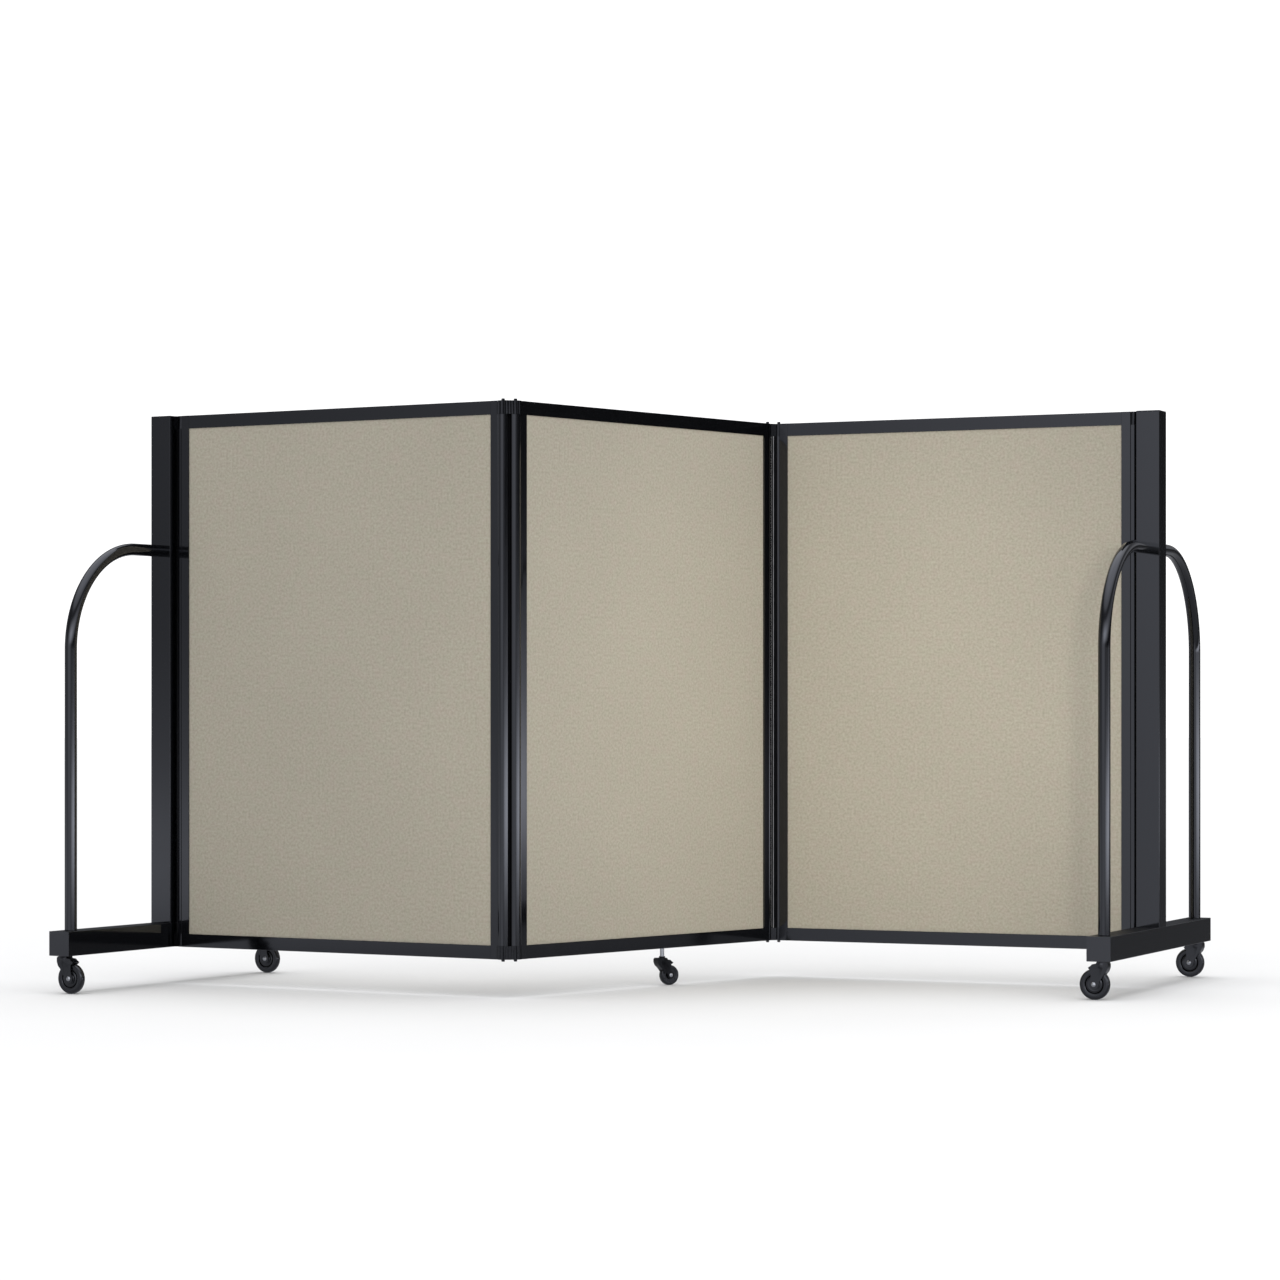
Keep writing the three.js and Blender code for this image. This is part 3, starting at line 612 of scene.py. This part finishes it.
# In metres, apart from fill: the least half width inside PAST_GROOVE in mm, where 0 leaves the groove.
BIG = {"radius": 0.03175, "half": 0.0075, "trail": 0.0145, "fork_half": 0.011, "head": 0.0050,
       "head_height": 0.0022, "fill": 0.0, "look": "caster_wheel"}
SMALL = {"radius": 0.0215, "half": 0.0070, "trail": 0.0165, "fork_half": 0.0105, "head": 0.0042,
         "head_height": 0.0020, "fill": 5.7, "look": "small_wheel"}
# Each caster's stem, the heading in which its wheel trails, and its kind.
CASTERS = {
    "left_front": ((-1.206478, -0.217947), (0.868632, -0.495459), BIG),
    "left_rear": ((-0.862333, 0.385404), (0.868632, -0.495459), BIG),
    "right_front": ((0.919184, -0.386387), (-0.909961, 0.414693), BIG),
    "right_rear": ((1.20723, 0.245672), (-0.909961, 0.414693), BIG),
    "middle": ((0.030273, 0.009733), (0.882948, 0.469472), SMALL),
}


def add_wheel(name, hub, axis, kind):
    """A wheel with a lined tyre and a stepped hub, and unless it is filled a groove between them, painted
    darker as shade.
    """
    k, w = kind["radius"] / MODEL_RADIUS, kind["half"] / MODEL_HALF
    one = [(r * k, (max(y, kind["fill"]) if r < PAST_GROOVE else y) * w) for r, y in WHEEL_SIDE]
    profile = one + [(kind["radius"], 0.0)] + [(r, -y) for r, y in reversed(one)] + [one[0]]
    label = f"{name}_wheel_fine"
    wheel = new_object(label, turned(label, hub, axis, profile), f"{name}_caster_wheel",
                       MATERIALS[kind["look"]])
    wheel.data.materials.append(MATERIALS["wheel_groove_painted_shade"])
    for polygon in wheel.data.polygons:
        spoke = polygon.center - hub
        out = math.sqrt(max(spoke.length_squared - spoke.dot(axis) ** 2, 0.0))
        # The groove's faces take the darker material, which paints the shade that falls there.
        in_shaded_groove = GROOVE[0] * k < out < GROOVE[1] * k and not kind["fill"]
        polygon.material_index = 1 if in_shaded_groove else 0
    shade_by_angle(wheel)
    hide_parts(f"{name}_caster_wheel")


def add_axle(name, hub, axis, kind):
    """A rivet with a domed head on each side of the fork."""
    head, rise, fork_half = kind["head"], kind["head_height"], kind["fork_half"]
    pin = AXLE_PIN * head
    dome = [(head * math.cos(t), fork_half + rise * math.sin(t)) for t in DOME_TURNS]
    profile = [(0.0, -fork_half - rise)] + [(r, -d) for r, d in reversed(dome)]
    profile += [(pin, -fork_half), (pin, fork_half)] + dome + [(0.0, fork_half + rise)]
    label = f"{name}_axle_fine"
    axle = new_object(label, turned(label, hub, axis, profile, around=40), f"{name}_caster_fork",
                      MATERIALS["zinc"])
    shade_by_angle(axle)
    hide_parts(f"{name}_caster_axle")


for name, (stem, (x, y), kind) in CASTERS.items():
    hub = Vector((stem[0] + kind["trail"] * x, stem[1] + kind["trail"] * y, kind["radius"]))
    add_wheel(name, hub, Vector((-y, x, 0)), kind)
    add_axle(name, hub, Vector((-y, x, 0)), kind)


# ---- fold hinges

BLOCK_HEIGHT = 0.0279
HINGE_LOW = UNDER_PANEL + BLOCK_HEIGHT
HINGE_HIGH = OVERALL - BLOCK_HEIGHT

# The rounded edge: its radii, where it starts and ends in degrees from square to the panel, and its
# lip, whose inner side turns further.
NOSE_RADIUS = 0.0112
NOSE_INNER = 0.0077
NOSE_START = -39
NOSE_END = 70
NOSE_STEPS = 30
NOSE_LIP = 0.0033
LIP_TURN = 18

# The flush edge: how far it starts behind the rod, the corner where it bends away from the panel's
# face (outward from the rod and out from the panel's middle), its inner radius, and its turns in degrees.
RIM_START = -0.0037
RIM_CORNER = (0.0024, 0.009)
RIM_INNER = 0.0082
RIM_END = 80
RIM_BACK = 106.5
RIM_STEPS = 14
RIM_INNER_STEPS = 16

# The web: its thin rib's stations from the outer to the inner side and its clearance from the lips
# there, then its wide part's start, depth and distance from each rod, and how far all of it reaches into
# the blocks.
WEB_RIB = (-0.0022, -0.0014, -0.0007, -0.0001)
WEB_CLEAR = 0.0003
WIDE_START = 0.0004
WIDE_DEPTH = 0.0038
WIDE_CLEAR = 0.0084
WIDE_STEPS = 8
WEB_TUCK = 0.0006

# The bead, grey as a painted highlight on a fold's inner side: its middle, its half width and its rise.
BEAD_MIDDLE = (-0.0008, 0.0041)
BEAD_HALF = 0.001
BEAD_RISE = 0.0014
BEAD_STEPS = 10


def arc(radius, turns, face):
    """Places round a rod, as (outward from the rod, out from the panel's middle)."""
    return [(radius * math.sin(t), face * radius * math.cos(t)) for t in turns]


def along_rod(panel, end, suffix, outline, weighted=False):
    """A piece of frame that stands along a rod of a panel. end: 0 left, 1 right."""
    rod = end * RODS_APART
    outward = 1 if end else -1
    places = [(rod + outward * x, y) for x, y in outline]
    label = f"{panel}_{'right' if end else 'left'}_{suffix}"
    mesh = column(label, places, standing(*LEFT_RODS[panel]), HINGE_LOW, HINGE_HIGH)
    obj = new_object(label, mesh, panel, MATERIALS["panel_frame"])
    shade_by_angle(obj, weighted)


def nose(panel, end, face):
    """The rounded edge of a panel on the outer side of a fold. face: -1 front, 1 rear."""
    turns = [math.radians(NOSE_START + (NOSE_END - NOSE_START) * k / NOSE_STEPS)
             for k in range(NOSE_STEPS + 1)]
    outer = arc(NOSE_RADIUS, turns, face)
    last = turns[-1]
    x, y = outer[-1]
    outer.append((x + NOSE_LIP * math.cos(last), y - face * NOSE_LIP * math.sin(last)))
    turns.append(math.radians(NOSE_END + LIP_TURN))
    along_rod(panel, end, "nose", outer + arc(NOSE_INNER, reversed(turns), face))


def rim(panel, end, face):
    """The flush edge over the barrel at an end hinge, which leaves a fine line where it meets the stile."""
    beyond, out = RIM_CORNER
    radius = math.hypot(beyond, out)
    first, last = math.asin(beyond / radius), math.radians(RIM_END)
    turns = [first + (last - first) * k / RIM_STEPS for k in range(RIM_STEPS + 1)]
    inner = [math.radians(RIM_END - RIM_BACK * k / RIM_INNER_STEPS) for k in range(RIM_INNER_STEPS + 1)]
    outline = [(RIM_START, face * out)] + arc(radius, turns, face) + arc(RIM_INNER, inner, face)
    along_rod(panel, end, f"rim_{'front' if face < 0 else 'back'}", outline, weighted=True)


def web(fold, centre, x_dir, inner_face):
    """The strip between the rods of a fold, which widens inward, and the bead on its inner side, a painted
    highlight.
    """
    thin = math.hypot(NOSE_RADIUS, NOSE_LIP) + WEB_CLEAR
    steps = [(y, thin) for y in WEB_RIB]
    steps += [(WIDE_DEPTH * k / WIDE_STEPS + WIDE_START, WIDE_CLEAR) for k in range(WIDE_STEPS + 1)]
    right = [(HALF_PITCH - math.sqrt(clear ** 2 - y ** 2), inner_face * y) for y, clear in steps]
    strip = right + [(-x, y) for x, y in reversed(right)]
    middle_x, middle_y = BEAD_MIDDLE
    turns = [math.pi * k / BEAD_STEPS for k in range(BEAD_STEPS + 1)]
    bead = [(BEAD_HALF * math.cos(t) + middle_x, inner_face * (middle_y + BEAD_RISE * math.sin(t)))
            for t in turns]
    for look, outline in (("web", strip), ("bead", bead)):
        label = f"{fold}_{look}"
        mesh = column(label, outline, standing(centre, x_dir), HINGE_LOW - WEB_TUCK, HINGE_HIGH + WEB_TUCK)
        obj = new_object(label, mesh, f"{fold}_link", MATERIALS[look])
        shade_by_angle(obj)
        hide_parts(f"{fold}_spine")


nose("panel_1", 1, -1)
nose("panel_2", 0, -1)
nose("panel_2", 1, 1)
nose("panel_3", 0, 1)
for face in (-1, 1):
    rim("panel_1", 0, face)
    rim("panel_3", 1, face)
web("fold_1", (-0.283543, -0.335315), (0.986286, 0.165048), 1)
web("fold_2", (0.277322, 0.279469), (0.977783, 0.209619), -1)


# ---- square tubes and their caps

TUBE_CORNER = 0.001
CORNER_STEPS = 3
# The heights of the post and of its cap's foot. The cap ends at OVERALL.
POST_FOOT = 0.1299
POST_END = 1.2162
POST_CAP_FOOT = 1.2164
POST_CAP_BEVEL = 0.0005
# The base's half length, and where its caps start and end along it.
BASE_HALF = 0.368
BASE_CAP = (0.3682, 0.3708)
BASE_CAP_BEVEL = 0.0004
# How upright the normal of a base's top face has to be.
UPWARD = 0.9


def square(label, place, low, high, replaced, slot, bevel=0.0):
    """A square tube or cap with fine corners, in place of a carried-over one."""
    outline = []
    for x, y, start in ((1, 1, 0), (-1, 1, 90), (-1, -1, 180), (1, -1, 270)):
        for step in range(CORNER_STEPS + 1):
            angle = math.radians(start + 90 * step / CORNER_STEPS)
            outline.append((x * (HALF_TUBE - TUBE_CORNER) + TUBE_CORNER * math.cos(angle),
                            y * (HALF_TUBE - TUBE_CORNER) + TUBE_CORNER * math.sin(angle)))
    body = f"{label.split('_')[0]}_end_frame"
    obj = new_object(label, column(label, outline, place, low, high), body, MATERIALS[slot])
    if bevel:
        break_edges(obj, bevel)
    shade_by_angle(obj, weighted=True)
    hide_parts(replaced)
    return obj


def dull_top(base):
    """Makes the upward faces of a base duller, as by dust and rubbing."""
    base.data.materials.append(MATERIALS["tube_top"])
    for polygon in base.data.polygons:
        polygon.material_index = 1 if polygon.normal.z > UPWARD else 0


for side, (centre, (ax, ay)) in POSTS.items():
    upright = standing(centre, (-ay, ax))
    square(f"{side}_post_fine", upright, POST_FOOT, POST_END, f"{side}_post_tube", "tube")
    square(f"{side}_post_cap_fine", upright, POST_CAP_FOOT, OVERALL, f"{side}_post_cap", "cap",
           POST_CAP_BEVEL)
    level = Matrix(((ax, 0, -ay, centre[0]), (ay, 0, ax, centre[1]), (0, -1, 0, BASE_MIDDLE), (0, 0, 0, 1)))
    dull_top(square(f"{side}_base_fine", level, -BASE_HALF, BASE_HALF, f"{side}_base_tube", "tube"))
    front = 1 if side == "left" else -1
    for end, along in (("front", front), ("rear", -front)):
        low, high = sorted(along * edge for edge in BASE_CAP)
        square(f"{side}_base_{end}_cap_fine", level, low, high, f"{side}_base_{end}_cap", "cap",
               BASE_CAP_BEVEL)


# ---- studio

FLOOR_HALF = 60.0


def build_floor():
    """A wide floor that the gloss doesn't see."""
    mesh = bpy.data.meshes.new("studio_floor")
    corners = [(x * FLOOR_HALF, y * FLOOR_HALF, 0) for x, y in ((-1, -1), (1, -1), (1, 1), (-1, 1))]
    mesh.from_pydata(corners, [], [(0, 1, 2, 3)])
    floor = bpy.data.objects.new("studio_floor", mesh)
    SCENE.collection.objects.link(floor)
    floor.data.materials.append(floor_material())
    floor.visible_glossy = False


# What the gloss sees near the level, by direction round the object (0 at the rear, 0.25 at the left,
# 0.5 at the front, 0.75 at the right) and by height there, which is z times NEAR_SCALE plus 0.5, so 0.5
# is level. WALLS is its strength by direction and WALLS_FORM its form by height. STRIPS are soft bright
# strips, each given in the same two ways. UNDER is what the floor adds, by height.
NEAR_SCALE = 5.0
WALLS = (
    (0.0, 0.12), (0.11, 0.4), (0.18, 0.62), (0.25, 0.55), (0.314, 0.49), (0.328, 0.70), (0.369, 0.87),
    (0.386, 1.42), (0.478, 1.4), (0.508, 0.95), (0.533, 0.45), (0.583, 0.33), (0.625, 0.1), (0.778, 0.04),
    (0.886, 0.05), (1.0, 0.12),
)
WALLS_FORM = ((0.2, 0.87), (0.5, 0.98), (0.86, 1.08))
RIGHT = (
    (0.44, 0.0), (0.5, 0.3), (0.525, 1.1), (0.578, 4.0), (0.633, 6.0), (0.694, 6.4), (0.735, 3.2),
    (0.767, 0.0),
)
RIGHT_FORM = (
    (0.15, 0.02), (0.234, 0.15), (0.291, 0.72), (0.343, 1.0), (0.387, 0.97), (0.42, 0.8), (0.456, 0.5),
    (0.509, 0.22), (0.561, 0.14), (0.613, 0.1), (0.70, 0.04), (0.78, 0.0),
)
FAR_RIGHT = (
    (0.694, 0.0), (0.735, 2.6), (0.767, 3.1), (0.79, 1.2), (0.81, 0.15), (0.886, 0.15), (0.95, 0.0),
)
FAR_RIGHT_FORM = (
    (0.0, 0.05), (0.169, 0.06), (0.234, 0.1), (0.291, 0.34), (0.335, 0.85), (0.38, 1.0), (0.41, 1.0),
    (0.456, 0.77), (0.509, 0.52), (0.561, 0.37), (0.613, 0.25), (0.70, 0.08), (0.76, 0.04), (0.87, 0.0),
)
LEFT = ((0.16, 0.0), (0.24, 0.6), (0.314, 1.2), (0.328, 0.45), (0.36, 0.05), (0.37, 0.0))
LEFT_FORM = (
    (0.12, 0.1), (0.19, 0.3), (0.225, 0.85), (0.282, 1.0), (0.343, 0.85), (0.395, 0.5), (0.456, 0.28),
    (0.52, 0.15), (0.62, 0.0),
)
STRIPS = ((RIGHT, RIGHT_FORM), (FAR_RIGHT, FAR_RIGHT_FORM), (LEFT, LEFT_FORM))
UNDER = ((0.0, 0.13), (0.1, 0.105), (0.25, 0.07), (0.33, 0.02), (0.4, 0.0))
GLOSS_LEVEL = 0.65

# What it sees above and below that: the general level by height (0 is straight down, 1 straight up), and
# a bright patch high at the front, as its strength by direction and its form by height.
FAR = (
    (0.0, 0.33), (0.25, 0.36), (0.4, 0.36), (0.6, 0.25), (0.675, 0.16), (0.76, 0.16), (0.8, 0.3),
    (0.84, 0.95), (0.9, 1.3), (0.95, 1.7), (1.0, 1.7),
)
PATCH = (
    (0.33, 0.0), (0.375, 0.2), (0.425, 0.6), (0.475, 1.0), (0.525, 0.97), (0.575, 0.72), (0.625, 0.5),
    (0.675, 0.27), (0.72, 0.15), (0.85, 0.12), (0.93, 0.0),
)
PATCH_FORM = (
    (0.545, 0.0), (0.57, 0.45), (0.6, 0.85), (0.63, 1.0), (0.67, 0.72), (0.71, 0.4), (0.75, 0.08),
    (0.78, 0.0),
)
PATCH_LEVEL = 2.9
# Where the first gives way to the second, by the size of z.
HANDOVER = ((0.1, 0.0), (0.22, 1.0))

WHITE = (1, 1, 1, 1)
GLOSS_COLOUR = (0.955, 0.975, 1.045, 1)
SEEN_STRENGTH = 1.2
DOME_STRENGTH = 1.19


def gloss_strength(tree):
    """The strength of what a glossy ray sees, by its direction."""
    def times(a, b):
        return calc(tree, "MULTIPLY", a, b)

    def plus(a, b):
        return calc(tree, "ADD", a, b)

    split = tree.nodes.new("ShaderNodeSeparateXYZ")
    join(tree, coordinates(tree, "Generated"), split.inputs[0])
    x, y, z = split.outputs
    azimuth = calc(tree, "ARCTAN2", x, times(y, -1.0))
    turn = plus(calc(tree, "DIVIDE", azimuth, 2 * math.pi), 0.5)
    tall = plus(times(z, NEAR_SCALE), 0.5)
    gloss = times(ramp(tree, turn, *WALLS), ramp(tree, tall, *WALLS_FORM))
    gloss = plus(gloss, ramp(tree, tall, *UNDER))
    for strength, form in STRIPS:
        gloss = plus(gloss, times(ramp(tree, turn, *strength), ramp(tree, tall, *form)))
    away = ramp(tree, calc(tree, "ABSOLUTE", z), *HANDOVER)
    near = times(times(gloss, GLOSS_LEVEL), calc(tree, "SUBTRACT", 1.0, away))
    height = plus(times(z, 0.5), 0.5)
    patch = times(ramp(tree, turn, *PATCH), ramp(tree, height, *PATCH_FORM))
    far = plus(times(ramp(tree, height, *FAR), away), times(patch, PATCH_LEVEL))
    return plus(near, far)


def switch(tree, by, first, second):
    """A shader that is the second where a factor is 1, and else the first."""
    node = tree.nodes.new("ShaderNodeMixShader")
    for socket, value in zip(node.inputs, (by, first, second)):
        join(tree, value, socket)
    return node.outputs[0]


def build_world():
    """A white background, an even dome for diffuse light, and a studio for the gloss to see."""
    world = bpy.data.worlds.new("studio")
    SCENE.world = world
    world.use_nodes = True
    world.cycles.sampling_method = "NONE"
    tree = world.node_tree
    tree.nodes.clear()
    seen = add(tree, "ShaderNodeBackground", Color=WHITE, Strength=SEEN_STRENGTH)
    dome = add(tree, "ShaderNodeBackground", Color=WHITE, Strength=DOME_STRENGTH)
    shiny = add(tree, "ShaderNodeBackground", Color=GLOSS_COLOUR)
    join(tree, gloss_strength(tree), shiny.inputs["Strength"])
    ray = tree.nodes.new("ShaderNodeLightPath").outputs
    lit = switch(tree, ray["Is Glossy Ray"], dome.outputs[0], shiny.outputs[0])
    shown = switch(tree, ray["Is Camera Ray"], lit, seen.outputs[0])
    join(tree, shown, tree.nodes.new("ShaderNodeOutputWorld").inputs["Surface"])


def lamp(name, kind, place, target, **settings):
    """A lamp that points at a target and is seen neither by the camera nor in the gloss."""
    data = bpy.data.lights.new(name, kind)
    for key, value in settings.items():
        setattr(data, key, value)
    obj = bpy.data.objects.new(name, data)
    obj.location = place
    obj.rotation_euler = (Vector(target) - Vector(place)).to_track_quat("-Z", "Y").to_euler()
    obj.visible_camera = False
    obj.visible_glossy = False
    SCENE.collection.objects.link(obj)
    return obj


def link_to(name, lamp_object, part_of_name):
    """Lets a lamp light only the objects whose names hold a word."""
    lit = bpy.data.collections.new(name)
    for obj in SCENE.collection.objects:
        if part_of_name in obj.name:
            lit.objects.link(obj)
    lamp_object.light_linking.receiver_collection = lit


def build_lights():
    """A broad soft lamp at the front, one above for the floor alone, and a fill for the fabric alone."""
    lamp("soft_front", "AREA", (2.6, -3.4, 1.7), (0.5, 0.0, 0.8), shape="RECTANGLE", size=2.4, size_y=1.8,
         energy=17.0)
    above = lamp("above_floor", "SUN", (0, 0.3, 4), (0, 0, 0), energy=1.69, angle=math.radians(50))
    link_to("lit_from_above", above, "studio_floor")
    fill = lamp("fold_fill", "SPOT", (0.8, -3.4, 0.95), (0.38, 0.2, 0.56), energy=275.0,
                color=(1.0, 0.955, 0.86), spot_size=math.radians(32), spot_blend=1.0, shadow_soft_size=0.4)
    link_to("lit_by_fold_fill", fill, "_fabric_")


def build_camera():
    """The level camera that was solved from the photo's panel edges."""
    data = bpy.data.cameras.new("camera")
    data.sensor_width = 36.0
    data.lens = 102.83
    data.shift_x = -0.0002
    data.shift_y = 0.05159
    data.clip_end = 200.0
    camera = bpy.data.objects.new("camera", data)
    camera.location = (-0.0163, -7.7957, 0.59595)
    camera.rotation_euler = (math.pi / 2, 0, 0)
    SCENE.collection.objects.link(camera)
    SCENE.camera = camera


build_floor()
build_world()
build_lights()
build_camera()
SCENE.view_settings.view_transform = "Standard"
